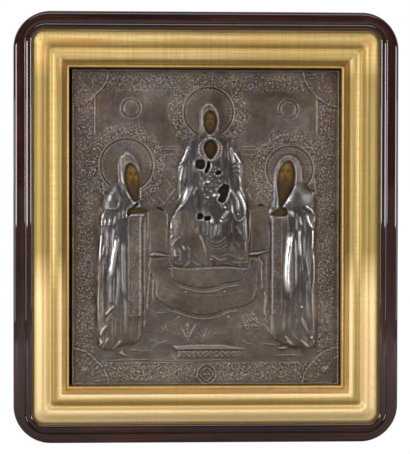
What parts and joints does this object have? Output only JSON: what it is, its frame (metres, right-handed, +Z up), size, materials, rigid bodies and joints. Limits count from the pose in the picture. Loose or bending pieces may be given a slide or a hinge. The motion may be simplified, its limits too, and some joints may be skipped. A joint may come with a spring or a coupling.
{
  "type": "icon panel",
  "caption": "Upright icon panel: silver relief cover with openings over a painted board, in a stepped gilt frame inside a round-cornered dark wooden case.",
  "frame": {"origin": "under the middle of the case's flat underside, halfway through its depth", "axes": "-Y out of the front, towards the viewer, +X to the viewer's right, +Z up"},
  "size_m": [0.371, 0.068, 0.415],
  "materials": {
    "mahogany": "polished dark red-brown, glossy varnish",
    "gilding": "burnished gilding on gesso, rubbed through to orange bole in places",
    "tarnished_silver": "embossed silver sheet, tarnished brown-grey with bright high places",
    "painted_board": "dark ochre paint under old varnish",
    "plain_board": "plain planed board"
  },
  "bodies": {
    "root": {"case_frame": "mahogany", "gilt_frame": "gilding", "silver_cover": "tarnished_silver", "icon_board": "painted_board", "back_board": "plain_board"}
  },
  "joints": []
}
